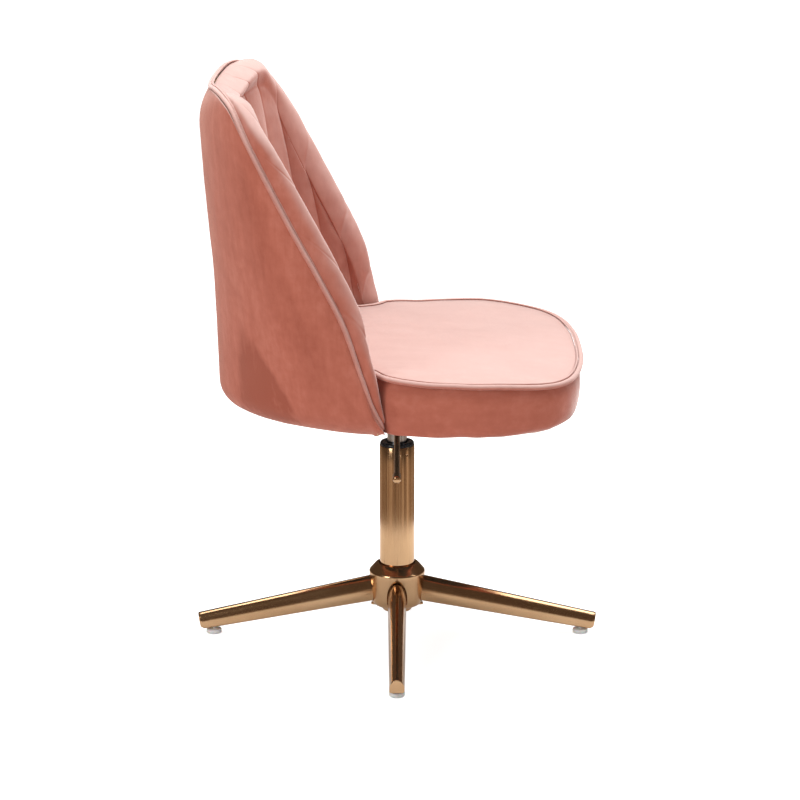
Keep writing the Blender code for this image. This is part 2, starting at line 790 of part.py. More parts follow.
def base():
    """Hub, four arched legs in its sockets, their screws from below, and the foot glides."""
    hub = base_hub()
    socket_stations = (
        (LEG_ROOT + 0.0005 - SOCKET_GAP, LEG_ROOT + 0.0005 - SOCKET_GAP, 0.0892, 0.0530, 0.0262),
        (0.055, 0.055, 0.0834, 0.0484, 0.0256),
    )
    glide_foot = (
        (0.0, 0.0160),
        (STEM_RADIUS, 0.0160),
        (STEM_RADIUS, GLIDE_HEIGHT),
        (0.0098, GLIDE_HEIGHT),
        (GLIDE_RADIUS, GLIDE_HEIGHT - 0.0014),
        (GLIDE_RADIUS, 0.0016),
        (GLIDE_RADIUS - 0.0016, 0.0),
        (0.0, 0.0),
    )
    screw = (
        (0.0, 0.0620),
        (0.0025, 0.0620),
        (0.0025, 0.0462),
        (0.0042, 0.0462),
        (0.0042, 0.0436),
        (0.0, 0.0436),
    )
    for i, side in enumerate(("front", "right", "rear", "left")):
        angle = math.radians(-90 - 90 * i)
        turn = Matrix.Rotation(angle, 4, "Z")
        socket = loft(f"socket_{side}", leg_rings(SOCKET_GAP, socket_stations))
        screw_spot = Vector((SCREW_REACH, 0, 0))
        bore = rod(f"screw_bore_{side}", screw_spot + Vector((0, 0, 0.03)), screw_spot + Vector((0, 0, 0.07)), 0.0028)
        sink = rod(f"screw_sink_{side}", screw_spot + Vector((0, 0, 0.03)), screw_spot + Vector((0, 0, 0.0465)), 0.0045)
        for cutter in (socket, bore, sink):
            cutter.matrix_world = turn
        cut(hub, socket, bore, sink)
        leg = loft(f"leg_{side}", leg_rings(), BRASS)
        stem = Vector((GLIDE_REACH, 0, 0))
        stem_hole = rod(f"stem_hole_{side}", stem, stem + Vector((0, 0, 0.0165)), STEM_RADIUS + GAP)
        screw_hole = rod(f"leg_hole_{side}", screw_spot + Vector((0, 0, 0.04)), screw_spot + Vector((0, 0, 0.0624)), 0.0028)
        for piece in (leg, stem_hole, screw_hole):
            piece.matrix_world = turn
        cut(leg, stem_hole, screw_hole)
        glide = turned(f"foot_glide_{side}", glide_foot, CLEAR_PLASTIC, steps=20)
        glide.location = turn @ stem
        bolt = turned(f"leg_screw_{side}", screw, STEEL, steps=12)
        bolt.location = turn @ screw_spot


clear_scene()
PARTS = new_collection("styling_chair")
CUTTERS = new_collection("cutters")
VELVET = material("dusty_rose_velvet", (0.53, 0.18, 0.13), 0.85)
BRASS = material("brushed_brass", (0.44, 0.25, 0.12), 0.32, 1.0)
CHROME_STEEL = material("ground_steel", (0.62, 0.63, 0.65), 0.25, 1.0)
STEEL = material("zinc_steel", (0.50, 0.50, 0.50), 0.40, 1.0)
BLACK_STEEL = material("black_steel", (0.02, 0.02, 0.02), 0.50, 0.5)
BLACK_PLASTIC = material("black_plastic", (0.012, 0.012, 0.014), 0.40)
RUBBER = material("black_rubber", (0.01, 0.01, 0.01), 0.80)
CLEAR_PLASTIC = material("milky_plastic", (0.80, 0.80, 0.78), 0.35)
PLYWOOD = material("plywood", (0.55, 0.36, 0.19), 0.70)
BLACK_CLOTH = material("black_dust_cloth", (0.015, 0.015, 0.015), 0.95)

base()
column_tube()
gas_lift()
mounting_plate()
lever_parts()
seat_board()
plate_fasteners()
dust_cover()
seat_cushion()
seat_piping()
COVER_SKIN, FRAME_SHELL = back_shells()
fasten_back(FRAME_SHELL)
back_pad()
back_piping()
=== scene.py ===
"""Looks of the styling chair: its upholstery, metalwork, light and camera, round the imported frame.

The frame's axes hold here: metres, +Z up, the sitter faces -Y, the height lever is on -X.
"""

import json
import math

import bmesh
import bpy
from mathutils import Matrix, Vector, noise
from mathutils.bvhtree import BVHTree


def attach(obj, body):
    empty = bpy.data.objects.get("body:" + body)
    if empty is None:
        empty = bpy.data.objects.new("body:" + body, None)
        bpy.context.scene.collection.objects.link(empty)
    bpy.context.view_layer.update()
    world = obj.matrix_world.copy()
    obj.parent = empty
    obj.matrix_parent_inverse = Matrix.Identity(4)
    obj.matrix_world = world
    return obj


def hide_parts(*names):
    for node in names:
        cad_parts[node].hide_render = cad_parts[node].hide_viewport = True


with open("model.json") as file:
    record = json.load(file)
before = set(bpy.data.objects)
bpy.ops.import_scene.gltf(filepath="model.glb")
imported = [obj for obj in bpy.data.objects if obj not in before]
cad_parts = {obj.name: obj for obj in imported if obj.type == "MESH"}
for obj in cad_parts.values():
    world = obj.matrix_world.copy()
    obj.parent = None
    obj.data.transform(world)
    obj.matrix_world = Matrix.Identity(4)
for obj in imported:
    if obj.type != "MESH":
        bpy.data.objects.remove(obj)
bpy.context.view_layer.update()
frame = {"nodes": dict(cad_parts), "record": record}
NODES = frame["nodes"]

# ---------------------------------------------------------------- sizes shared with the frame

TUB_FLOOR = 0.349
TUB_ROUNDING = 0.036
PAD_OUTER = 0.0124
PAD_REAR_TOP = 0.030
PAD_REAR_LOW = 0.052
PAD_WING = 0.024
PIPING_HEIGHT = 0.434
FRONT_DIP = 0.008
WING_RISE = 0.006
CROWN = 0.0135
COLUMN_RADIUS = 0.025
COLUMN_WALL = 0.0018
COLUMN_FOOT = 0.045
COLUMN_TOP = 0.283
DIMPLE_HEIGHT = 0.2722
DIMPLE_RADIUS = 0.0027
BUSH_TOP = 0.288
BUSH_FOOT = 0.260
CYLINDER_RADIUS = 0.014
CYLINDER_FOOT = 0.089
CYLINDER_TOP = 0.338
GLIDE_REACH = 0.2655
LEVER_PIVOT = Vector((-0.030, 0.0, 0.3399))
LEVER_SLOPE = math.radians(15)
LEVER_LENGTH = 0.175
LEVER_TAIL = 0.036
LEVER_RADIUS = 0.004
SIDES = ("front", "right", "rear", "left")


def vectors(*rows):
    return [Vector(row) for row in rows]


# Half of the rim, from the middle of the back to the foot of the wing.
RIM = vectors(
    (0.0, 0.2570, 0.8010),
    (0.060, 0.2535, 0.8040),
    (0.120, 0.2438, 0.8085),
    (0.170, 0.2305, 0.8050),
    (0.205, 0.2165, 0.7920),
    (0.229, 0.1990, 0.7575),
    (0.240, 0.1780, 0.7160),
    (0.2455, 0.1400, 0.6420),
    (0.247, 0.1050, 0.5780),
    (0.247, 0.0720, 0.5120),
    (0.2455, 0.0480, 0.4420),
    (0.241, 0.0340, 0.4000),
    (0.2355, 0.0185, 0.3665),
)
# The tub's edge at its floor, below the same stations.
FOOT_PLAN = (
    (0.0, 0.2505),
    (0.045, 0.2460),
    (0.090, 0.2265),
    (0.130, 0.1980),
    (0.158, 0.1700),
    (0.180, 0.1420),
    (0.195, 0.1190),
    (0.2095, 0.0920),
    (0.2195, 0.0680),
    (0.2255, 0.0480),
    (0.2275, 0.0340),
    (0.2280, 0.0250),
    (0.2280, 0.0155),
)
FOOT = vectors(*((x, y, TUB_FLOOR) for x, y in FOOT_PLAN))
# How far the padding's roll stands past the rim at the same stations.
ROLL = (
    *(-0.002, -0.001, 0.001, 0.008, 0.0165, 0.0245, 0.0275),
    *(0.0280, 0.0274, 0.0266, 0.0230, 0.0155, 0.0060),
)
# Half of the seat's plan, from the middle of the front to where it meets the wing.
SEAT_FRONT = vectors(
    (0.0, -0.2605),
    (0.070, -0.2590),
    (0.125, -0.2535),
    (0.170, -0.2450),
    (0.2055, -0.2320),
    (0.2350, -0.2100),
    (0.2575, -0.1700),
    (0.2700, -0.1150),
    (0.2640, -0.0600),
    (0.2560, -0.0300),
    (0.2470, 0.0),
    (0.2330, 0.0210),
    (0.2120, 0.0330),
)


# ---------------------------------------------------------------- curves and the back's shape


def ease(value):
    value = max(0.0, min(1.0, value))
    return value * value * (3 - 2 * value)


def along(stations, position):
    """A point on the smooth curve through the stations, at a fraction of the way from 0 to 1."""
    last = len(stations) - 1
    span = max(0, min(int(position * last), last - 1))
    t = position * last - span
    before = stations[span - 1] if span else stations[0] * 2 - stations[1]
    after = stations[span + 2] if span + 2 <= last else stations[last] * 2 - stations[last - 1]
    start, end = stations[span], stations[span + 1]
    return (
        start * 2
        + (end - before) * t
        + (before * 2 - start * 5 + end * 4 - after) * t**2
        + (start * 3 - end * 3 + after - before) * t**3
    ) / 2


def table(xs, ys, x):
    """Straight-line interpolation in a rising table."""
    if x <= xs[0]:
        return ys[0]
    for i in range(1, len(xs)):
        if x <= xs[i]:
            share = (x - xs[i - 1]) / (xs[i] - xs[i - 1])
            return ys[i - 1] + (ys[i] - ys[i - 1]) * share
    return ys[-1]


def mirrored(stations):
    return [Vector((-p.x, *p[1:])) for p in reversed(stations[1:])] + list(stations)


RIM_LINE = mirrored(RIM)
FOOT_LINE = mirrored(FOOT)
ROLL_LINE = [Vector((r, 0, 0)) for r in (*reversed(ROLL[1:]), *ROLL)]


class Column:
    """One upright strip of the back, at a fraction of the way round it from wing to wing."""

    def __init__(self, position):
        step = 0.002
        low, high = max(0.0, position - step), min(1.0, position + step)
        self.rim = along(RIM_LINE, position)
        self.foot = along(FOOT_LINE, position)
        run = along(RIM_LINE, high) - along(RIM_LINE, low)
        foot_run = along(FOOT_LINE, high) - along(FOOT_LINE, low)
        level = run.normalized() + foot_run.normalized()
        level.z = 0
        level.normalize()
        self.inward = Vector((level.y, -level.x, 0))
        climb = (self.rim - self.foot).normalized()
        past = climb - run * (climb.dot(run) / run.length_squared)
        self.rise = past.length
        self.past = past.normalized()
        self.roll = along(ROLL_LINE, position).x
        self.rear = ease(1 - abs(2 * position - 1) / 0.62)
        self.height = self.rim.z - TUB_FLOOR
        self.rounding = min(TUB_ROUNDING, 0.42 * self.height)
        # The foot of the wing is pulled up a little above the floor of the tub.
        self.tuck = 0.0085 * ease((abs(2 * position - 1) - 0.88) / 0.12)

    def skin(self, height):
        """A point of the outer skin: it bulges outwards and comes back in at the crest."""
        share = height / self.height
        bow = math.sin(math.pi * max(0.0, min(1.0, share)))
        rear_swell = 0.016 * max(0.0, share) ** 1.9 + 0.0045 * ease((share - 0.3) / 0.5)
        swell = rear_swell * self.rear + 0.011 * bow * (1 - self.rear)
        crest = max(0.0, (share - 0.88) / 0.12) ** 2 * self.rear
        point = self.foot.lerp(self.rim, share)
        point.z = TUB_FLOOR + height + self.tuck * (1 - share)
        return point - self.inward * swell * (1 - crest)

    def wall(self, height, depth):
        """A point this far inside the outer skin."""
        return self.skin(height) + self.inward * depth

    def curl(self, angle, depth):
        """A point of the rounding between the tub's floor and its wall."""
        radius = self.rounding - depth
        height = self.rounding - radius * math.cos(angle)
        return self.wall(height, self.rounding - radius * math.sin(angle))

    def pad_span(self):
        """The heights between which the padding's wall runs up the tub."""
        top = self.height - 0.0042 / self.rise
        return min(TUB_ROUNDING + 0.0005, 0.5 * top), top

    def pad_depth(self, height):
        """How far inside the outer skin the padding's face lies."""
        rear = PAD_REAR_LOW + (PAD_REAR_TOP - PAD_REAR_LOW) * ease(height / self.height)
        return PAD_OUTER + PAD_WING + (rear - PAD_WING) * self.rear


def rim_arcs(count=480):
    """Distances along the rim from the middle of the back, with the positions they belong to."""
    arcs, positions, total = [0.0], [0.5], 0.0
    for i in range(1, count + 1):
        position = 0.5 + 0.5 * i / count
        total += (along(RIM_LINE, position) - along(RIM_LINE, positions[-1])).length
        arcs.append(total)
        positions.append(position)
    return arcs, positions


ARCS, ARC_POSITIONS = rim_arcs()


def position_at(arc):
    """The position of the strip whose rim is this far from the middle, signed by side."""
    position = table(ARCS, ARC_POSITIONS, abs(arc))
    return position if arc >= 0 else 1 - position


def seat_half():
    """Half of the seat's plan, closed along the padding of the back."""
    height = TUB_ROUNDING
    rear = []
    for i in range(7):
        column = Column(0.88 - 0.38 * i / 6)
        point = column.wall(height, column.pad_depth(height) + 0.004)
        rear.append(Vector((point.x, point.y)))
    rear[-1].x = 0.0
    return SEAT_FRONT + rear


def seat_outline(count):
    """The seat's plan as this many points on its smooth curve."""
    half = seat_half()
    whole = half + [Vector((-p.x, p.y)) for p in reversed(half[1:-1])]
    closed = whole + [whole[0]]
    lengths = [0.0]
    for a, b in zip(closed, closed[1:]):
        lengths.append(lengths[-1] + (b - a).length)
    points = []
    for i in range(count):
        target = lengths[-1] * i / count
        span = max(k for k in range(len(closed) - 1) if lengths[k] <= target)
        share = (target - lengths[span]) / (lengths[span + 1] - lengths[span])
        around = [whole[(span + k) % len(whole)] for k in (-1, 0, 1, 2)]
        points.append(along(around, (1 + share) / 3))
    return points


def inset(outline, distance):
    """The outline moved inwards by a distance."""
    moved = []
    for i, point in enumerate(outline):
        run = outline[(i + 1) % len(outline)] - outline[i - 1]
        run.normalize()
        moved.append(point + Vector((-run.y, run.x)) * distance)
    return moved


def piping_height(y):
    """The seat's cord dips at the front and rises where it meets the wings."""
    dip = FRONT_DIP * ease((-0.12 - y) / 0.12)
    return PIPING_HEIGHT - dip + WING_RISE * ease((y + 0.05) / 0.10)


# ---------------------------------------------------------------- materials


class Finish:
    """A Principled material and short ways to add nodes to it."""

    def __init__(self, name, **settings):
        self.material = bpy.data.materials.new(name)
        self.material.use_nodes = True
        self.nodes = self.material.node_tree.nodes
        self.links = self.material.node_tree.links
        self.shader = self.nodes["Principled BSDF"]
        for key, value in settings.items():
            self.set(key.replace("_", " ").title().replace("Ior", "IOR"), value)
        self.coordinates = self.nodes.new("ShaderNodeTexCoord")
        self.place = self.coordinates.outputs["Object"]

    def set(self, socket, value):
        value = (*value, 1) if isinstance(value, tuple) else value
        self.shader.inputs[socket].default_value = value

    def add(self, kind, inputs=(), **settings):
        node = self.nodes.new("ShaderNode" + kind)
        for key, value in settings.items():
            setattr(node, key, value)
        for socket, value in dict(inputs).items():
            if isinstance(value, bpy.types.NodeSocket):
                self.links.new(value, node.inputs[socket])
            else:
                node.inputs[socket].default_value = value
        return node

    def sum(self, operation, *values, clamp=False):
        inputs = dict(enumerate(values))
        return self.add("Math", inputs, operation=operation, use_clamp=clamp).outputs[0]

    def scaled(self, scale):
        return self.add("Mapping", {"Vector": self.place, "Scale": scale}).outputs[0]

    def noise(self, scale, detail=2.0, stretch=(1, 1, 1), roughness=0.5, distortion=0.0):
        inputs = {
            "Vector": self.scaled(stretch),
            "Scale": scale,
            "Detail": detail,
            "Roughness": roughness,
            "Distortion": distortion,
        }
        return self.add("TexNoise", inputs).outputs[0]

    def ramp(self, value, *stops):
        node = self.add("ValToRGB", {0: value})
        elements = node.color_ramp.elements
        while len(elements) < len(stops):
            elements.new(0.5)
        for element, (position, colour) in zip(elements, stops):
            element.position = position
            element.color = (*(colour if isinstance(colour, tuple) else (colour,) * 3), 1)
        return node.outputs[0]

    def step(self, value, low, high):
        """A smooth step from 0 at low to 1 at high."""
        inputs = {"Value": value, "From Min": low, "From Max": high}
        return self.add("MapRange", inputs, interpolation_type="SMOOTHSTEP").outputs[0]

    def mix(self, share, first, second):
        inputs = {"Factor": share, 6: first, 7: second}
        return self.add("Mix", inputs, data_type="RGBA").outputs[2]

    def colour(self, value):
        self.links.new(value, self.shader.inputs["Base Color"])

    def roughness(self, value):
        self.links.new(value, self.shader.inputs["Roughness"])

    def bump(self, height, distance, strength=1.0, under=None):
        inputs = {"Height": height, "Distance": distance, "Strength": strength}
        if under:
            inputs["Normal"] = under
        normal = self.add("Bump", inputs).outputs[0]
        self.links.new(normal, self.shader.inputs["Normal"])
        return normal

    def axes(self):
        return self.add("SeparateXYZ", {0: self.place}).outputs


VELVET_DEEP = (0.290, 0.076, 0.047)
VELVET_MID = (0.385, 0.113, 0.074)
VELVET_PALE = (0.490, 0.168, 0.118)
# Painted highlight: the pale colour laid on faces that look up.
VELVET_PAINTED_TOPLIGHT = (0.630, 0.445, 0.405)


def velvet(
    name,
    streaks,
    nap_shade=0.0,
    sheen=0.6,
    soft=0.38,
    toplight_band=(0.10, 0.95),
    tint=(1.0, 0.86, 0.82),
):
    """Short-pile velvet.

    Its brushed pile runs in long soft streaks along the axis where streaks is small. A painted
    highlight pales the faces that look up, standing in for light from above; it comes in between
    the two values of bloom, which say how far a face looks up.
    """
    finish = Finish(name, roughness=0.92, sheen_weight=sheen, sheen_roughness=soft)
    finish.set("Specular IOR Level", 0.12)
    finish.set("Sheen Tint", tint)
    broad = finish.noise(1.0, 3.0, streaks, 0.55, 0.25)
    fine = finish.noise(5.0, 3.0, streaks, 0.6, 0.1)
    cloud = finish.noise(9.0, 3.0, (1, 1, 1), 0.55, 0.4)
    mottle = finish.noise(70.0, 3.0, (1, 1, 1), 0.6)
    tone = finish.sum("MULTIPLY_ADD", fine, 0.22, finish.sum("MULTIPLY", broad, 0.24))
    tone = finish.sum("MULTIPLY_ADD", cloud, 0.30, tone)
    tone = finish.sum("MULTIPLY_ADD", mottle, 0.24, tone)
    # Painted shade: the flanks darken in patches where the pile's sheen turns from the light.
    if nap_shade:
        painted_dark = finish.sum("MULTIPLY", painted_nap_shade(finish), nap_shade)
        tone = finish.sum("SUBTRACT", tone, painted_dark)
    shade = finish.ramp(tone, (0.26, VELVET_DEEP), (0.50, VELVET_MID), (0.72, VELVET_PALE))
    # Painted highlight: faces that look up are paled towards a pink-white, standing in for light
    # from above.
    upward = finish.add("SeparateXYZ", {0: finish.coordinates.outputs["Normal"]}).outputs["Z"]
    uneven = finish.sum("MULTIPLY_ADD", tone, 0.5, 0.55)
    painted_toplight = finish.sum("MULTIPLY", finish.step(upward, *toplight_band), uneven, clamp=True)
    finish.colour(finish.mix(painted_toplight, shade, (*VELVET_PAINTED_TOPLIGHT, 1)))
    pile = finish.noise(1500.0, 1.0)
    first = finish.bump(pile, 0.0004, 0.30)
    weave = finish.noise(260.0, 2.0)
    finish.bump(weave, 0.0005, 0.22, first)
    return finish.material


def painted_nap_shade(finish):
    """Painted shade on the tub's flanks, where pile brushed the other way looks darker under the
    light.

    It is a wedge low at the back and a fainter band near the wing.
    """
    axes = finish.axes()
    warp = finish.noise(16.0, 3.0, (1, 1, 0.35), 0.6)
    wobble = finish.sum("MULTIPLY_ADD", warp, 0.05, -0.025)
    depth = finish.sum("ADD", axes["Y"], finish.sum("MULTIPLY", wobble, 0.35))
    edge = finish.sum("MULTIPLY_ADD", axes["Z"], -0.60, depth)
    wedge = finish.step(edge, -0.094, -0.082)
    wedge = finish.sum("MULTIPLY", wedge, finish.step(depth, 0.222, 0.208))
    wedge = finish.sum("MULTIPLY", wedge, finish.step(axes["Z"], 0.505, 0.44))
    mottled = finish.noise(3.0, 3.0, (14, 14, 1.6), 0.6, 0.3)
    wedge = finish.sum("MULTIPLY", wedge, finish.step(mottled, 0.25, 0.55))
    lean = finish.sum("MULTIPLY_ADD", axes["Z"], -0.375, finish.sum("ADD", axes["Y"], wobble))
    band = finish.sum("ABSOLUTE", finish.sum("ADD", lean, 0.052))
    band = finish.step(band, 0.034, 0.006)
    band = finish.sum("MULTIPLY", band, finish.step(axes["Z"], 0.40, 0.50))
    band = finish.sum("MULTIPLY", band, finish.step(axes["Z"], 0.75, 0.66))
    return finish.sum("MULTIPLY_ADD", band, 0.45, wedge)


def brass(name, brushing=(1, 1, 1), roughness=(0.17, 0.30)):
    """Plated and brushed: fine lines along the axis where brushing is small."""
    finish = Finish(name, metallic=1.0)
    lines = finish.noise(900.0, 2.0, brushing, 0.6)
    clouds = finish.noise(14.0, 3.0)
    finish.colour(finish.ramp(clouds, (0.30, (0.58, 0.355, 0.190)), (0.70, (0.66, 0.425, 0.240))))
    finish.roughness(finish.ramp(lines, (0.3, roughness[0]), (0.7, roughness[1])))
    finish.bump(lines, 0.00004, 0.35)
    return finish.material


def metal(name, colour, low, high, grain=400.0, stretch=(1, 1, 1), metallic=1.0):
    finish = Finish(name, metallic=metallic)
    speckle = finish.noise(grain, 2.0, stretch)
    darker = tuple(0.82 * c for c in colour)
    finish.colour(finish.ramp(finish.noise(25.0, 3.0), (0.3, darker), (0.7, colour)))
    finish.roughness(finish.ramp(speckle, (0.3, low), (0.7, high)))
    finish.bump(speckle, 0.00005, 0.3)
    return finish.material


def plain(name, colour, low, high, grain=500.0, depth=0.0001):
    """Moulded or coated surfaces: a fine grain in bump and gloss."""
    finish = Finish(name)
    speckle = finish.noise(grain, 3.0)
    paler = tuple(min(1.0, 1.25 * c + 0.004) for c in colour)
    finish.colour(finish.ramp(finish.noise(30.0, 3.0), (0.35, colour), (0.7, paler)))
    finish.roughness(finish.ramp(speckle, (0.3, low), (0.7, high)))
    finish.bump(speckle, depth, 0.4)
    return finish.material


def milky(name):
    """Translucent moulded plastic."""
    finish = Finish(name, ior=1.46, transmission_weight=0.25)
    finish.set("Subsurface Weight", 0.35)
    finish.set("Subsurface Scale", 0.004)
    haze = finish.noise(120.0, 3.0)
    finish.colour(finish.ramp(haze, (0.3, (0.74, 0.75, 0.74)), (0.7, (0.88, 0.88, 0.87))))
    finish.roughness(finish.ramp(haze, (0.3, 0.28), (0.7, 0.42)))
    finish.bump(haze, 0.0001, 0.3)
    return finish.material


def plywood(name):
    finish = Finish(name)
    grain = finish.noise(3.0, 4.0, (40, 3, 40), 0.6, 0.4)
    finish.colour(finish.ramp(grain, (0.3, (0.42, 0.25, 0.12)), (0.7, (0.62, 0.42, 0.23))))
    finish.roughness(finish.ramp(grain, (0.3, 0.6), (0.7, 0.8)))
    finish.bump(grain, 0.0003, 0.4)
    return finish.material


def dust_cloth(name):
    finish = Finish(name, sheen_weight=0.2)
    fibres = finish.noise(700.0, 3.0)
    finish.colour(finish.ramp(fibres, (0.35, (0.010, 0.010, 0.010)), (0.7, (0.035, 0.034, 0.034))))
    finish.roughness(finish.ramp(fibres, (0.3, 0.85), (0.7, 0.95)))
    finish.bump(fibres, 0.0003, 0.6)
    return finish.material


# ---------------------------------------------------------------- mesh helpers


# How every piece of velvet is made: the body it rides on, no sharp edges.
UPHOLSTERY = {"slot": "velvet", "body": "chair", "sharp": None}


def new_object(name, mesh, finish=None, slot=None, body=None, sharp=35):
    """An object from a mesh, with edges sharper than this many degrees kept crisp."""
    obj = bpy.data.objects.new(name, mesh)
    bpy.context.scene.collection.objects.link(obj)
    mesh.shade_smooth()
    if sharp:
        mesh.set_sharp_from_angle(angle=math.radians(sharp))
    if finish:
        mesh.materials.append(finish)
    if body:
        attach(obj, body)
    return obj


def from_bmesh(name, bm, **where):
    bmesh.ops.recalc_face_normals(bm, faces=bm.faces)
    mesh = bpy.data.meshes.new(name)
    bm.to_mesh(mesh)
    bm.free()
    return new_object(name, mesh, **where)


def grid(name, rows, **where):
    """A closed body through equal rings of points."""
    bm = bmesh.new()
    made = [[bm.verts.new(point) for point in row] for row in rows]
    size = len(made[0])
    for row, following in zip(made, made[1:]):
        for i in range(size):
            j = (i + 1) % size
            bm.faces.new((row[i], row[j], following[j], following[i]))
    bm.faces.new(made[0])
    bm.faces.new(made[-1])
    return from_bmesh(name, bm, **where)


def turned(name, profile, steps=96, closed=False, place=(0, 0, 0), turn=None, **where):
    """A profile of (radius, height) turned about Z."""
    bm = bmesh.new()
    columns = []
    for i in range(steps):
        angle = 2 * math.pi * i / steps
        column = []
        for k, (radius, height) in enumerate(profile):
            if radius == 0 and i:
                column.append(columns[0][k])
            else:
                place_on = (radius * math.cos(angle), radius * math.sin(angle), height)
                column.append(bm.verts.new(place_on))
        columns.append(column)
    count = len(profile)
    for i in range(steps):
        a, b = columns[i], columns[(i + 1) % steps]
        for k in range(count if closed else count - 1):
            n = (k + 1) % count
            corners = []
            for vertex in (a[k], b[k], b[n], a[n]):
                if vertex not in corners:
                    corners.append(vertex)
            if len(corners) > 2:
                bm.faces.new(corners)
    matrix = Matrix.Translation(place) @ (turn or Matrix.Identity(4))
    bmesh.ops.transform(bm, matrix=matrix, verts=bm.verts)
    return from_bmesh(name, bm, **where)


def smooth(obj, sharp):
    obj.data.shade_smooth()
    obj.data.set_sharp_from_angle(angle=math.radians(sharp))


def apply_modifiers(obj):
    graph = bpy.context.evaluated_depsgraph_get()
    mesh = bpy.data.meshes.new_from_object(obj.evaluated_get(graph))
    obj.modifiers.clear()
    old = obj.data
    obj.data = mesh
    bpy.data.meshes.remove(old)


def subtract(obj, cutters):
    for cutter in cutters:
        modifier = obj.modifiers.new("cut", "BOOLEAN")
        modifier.object = cutter
        modifier.solver = "EXACT"
    bpy.context.view_layer.update()
    apply_modifiers(obj)
    for cutter in cutters:
        bpy.data.objects.remove(cutter)


def bevelled(obj, width, segments):
    bevel = obj.modifiers.new("bevel", "BEVEL")
    bevel.width = width
    bevel.segments = segments
    bevel.limit_method = "ANGLE"
    bevel.angle_limit = math.radians(50)
    apply_modifiers(obj)
    smooth(obj, 50)


def subdivided(obj):
    modifier = obj.modifiers.new("subdivision", "SUBSURF")
    modifier.levels = modifier.render_levels = 1
    apply_modifiers(obj)
    obj.data.shade_smooth()


def tube(name, path, radius, sides=12, cyclic=False, **where):
    """A round cord along a path."""
    rows = []
    count = len(path)
    side = None
    for i, point in enumerate(path):
        if cyclic:
            run = path[(i + 1) % count] - path[i - 1]
        else:
            run = path[min(i + 1, count - 1)] - path[max(i - 1, 0)]
        run.normalize()
        if side is None:
            side = run.cross(Vector((0, 0, 1)))
            if side.length < 0.1:
                side = run.cross(Vector((0, 1, 0)))
        side = (side - run * side.dot(run)).normalized()
        up = run.cross(side)
        ring = []
        for k in range(sides):
            angle = 2 * math.pi * k / sides
            ring.append(point + side * radius * math.cos(angle) + up * radius * math.sin(angle))
        rows.append(ring)
    if not cyclic:
        return grid(name, rows, **where)
    bm = bmesh.new()
    made = [[bm.verts.new(point) for point in row] for row in rows]
    for i in range(count):
        row, following = made[i], made[(i + 1) % count]
        # The frame may have turned after one round, so the last ring joins at the nearest point.
        shift = 0
        if i == count - 1:
            shift = min(range(sides), key=lambda s: (following[s].co - row[0].co).length)
        for k in range(sides):
            n = (k + 1) % sides
            ahead = [following[(m + shift) % sides] for m in (n, k)]
            bm.faces.new((row[k], row[n], *ahead))
    return from_bmesh(name, bm, **where)


def ripple(obj, size, height, where=lambda p: 1.0, seed=0.0):
    """Small unevenness of the cloth, along each point's normal."""
    mesh = obj.data
    normals = [v.normal.copy() for v in mesh.vertices]
    for vertex, normal in zip(mesh.vertices, normals):
        p = vertex.co
        amount = noise.noise(p / size + Vector((seed, seed, seed)))
        vertex.co = p + normal * amount * height * where(p)
    mesh.update()


# ---------------------------------------------------------------- cloth simulation


def inflate(obj, pinned, pressure, frames, cap, stiffness=20.0):
    """Pumps a closed cloth body up with its pinned points held, and moves no point past the cap."""
    group = obj.vertex_groups.new(name="pin")
    group.add(pinned, 1.0, "REPLACE")
    rest = [v.co.copy() for v in obj.data.vertices]
    cloth = obj.modifiers.new("cloth", "CLOTH")
    settings = cloth.settings
    settings.quality = 6
    settings.mass = 0.25
    settings.tension_stiffness = settings.compression_stiffness = stiffness
    settings.shear_stiffness = 8
    settings.bending_stiffness = 0.6
    settings.vertex_group_mass = "pin"
    settings.use_pressure = True
    settings.uniform_pressure_force = pressure
    settings.effector_weights.gravity = 0
    cloth.collision_settings.use_collision = False
    cloth.point_cache.frame_start = 1
    cloth.point_cache.frame_end = frames
    scene = bpy.context.scene
    for number in range(1, frames + 1):
        scene.frame_set(number)
    graph = bpy.context.evaluated_depsgraph_get()
    mesh = obj.evaluated_get(graph).to_mesh()
    moved = [v.co.copy() for v in mesh.vertices]
    obj.evaluated_get(graph).to_mesh_clear()
    obj.modifiers.clear()
    obj.vertex_groups.clear()
    scene.frame_set(1)
    for vertex, start, end in zip(obj.data.vertices, rest, moved):
        shift = end - start
        if shift.length > cap:
            shift = shift.normalized() * cap
        vertex.co = start + shift
    obj.data.update()


def seat_swelling(outline):
    """How far the seat's top panel rises when its foam fills it: a function of x and y."""
    flat, low, voxel = PIPING_HEIGHT, 0.366, 0.006
    edge = inset(outline, 0.006)
    rows = [[Vector((p.x, p.y, z)) for p in edge] for z in (low, flat)]
    body = grid("seat_proxy", rows, sharp=None)
    remesh = body.modifiers.new("remesh", "REMESH")
    remesh.mode = "VOXEL"
    remesh.voxel_size = voxel
    apply_modifiers(body)
    # An upright fence along the edge gives each point's level distance from it.
    count = len(edge)
    posts = [Vector((p.x, p.y, z)) for z in (0, 1) for p in edge]
    panels = [(i, (i + 1) % count, (i + 1) % count + count, i + count) for i in range(count)]
    fence = BVHTree.FromPolygons(posts, panels)
    pinned = []
    for vertex in body.data.vertices:
        gap = fence.find_nearest(Vector((vertex.co.x, vertex.co.y, 0.5)))[3]
        if vertex.co.z < flat - 0.003 or gap < 0.005:
            pinned.append(vertex.index)
    inflate(body, pinned, 4.0, 20, 0.030)
    points = [v.co.copy() for v in body.data.vertices]
    surface = BVHTree.FromPolygons(points, [tuple(p.vertices) for p in body.data.polygons])
    peak = max(v.co.z for v in body.data.vertices) - flat
    bpy.data.objects.remove(body)
    gain = CROWN / max(peak, 0.001)

    def rise(x, y):
        hit = surface.ray_cast(Vector((x, y, 0.6)), Vector((0, 0, -1)))[0]
        return max(0.0, (hit.z - flat) * gain) if hit else 0.0

    return rise


# ---------------------------------------------------------------- upholstery


